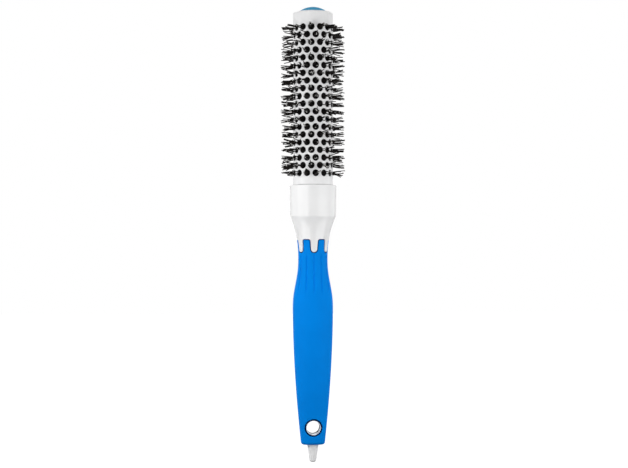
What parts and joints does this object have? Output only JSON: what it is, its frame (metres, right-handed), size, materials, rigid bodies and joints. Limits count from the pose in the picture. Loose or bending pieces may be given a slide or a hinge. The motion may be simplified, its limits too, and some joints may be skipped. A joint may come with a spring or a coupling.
{
  "type": "round barrel hair brush",
  "caption": "Round hair brush with a perforated ceramic-coated tube, black nylon bristles on a twisted-wire core, and a blue soft-grip handle with a hanging hole and tail.",
  "frame": {"origin": "centre of the hanging hole, on the brush axis", "axes": "+Z along the brush axis from the handle to the barrel's tip, -Y out of the front, along the hanging hole"},
  "size_m": [0.041, 0.041, 0.2859],
  "materials": {
    "ceramic_coat": "satin white ceramic coating",
    "cap_plastic": "gloss blue",
    "nylon": "black nylon filament",
    "steel_wire": "drawn wire",
    "bush_plastic": "plain moulded white",
    "handle_plastic": "polished white",
    "grip_rubber": "soft-touch blue"
  },
  "bodies": {
    "root": {"barrel": "ceramic_coat", "end_cap": "cap_plastic", "bristle_insert": "nylon", "core_wire": "steel_wire", "wire_bush": "bush_plastic", "handle_core": "handle_plastic", "grip": "grip_rubber"}
  },
  "joints": []
}
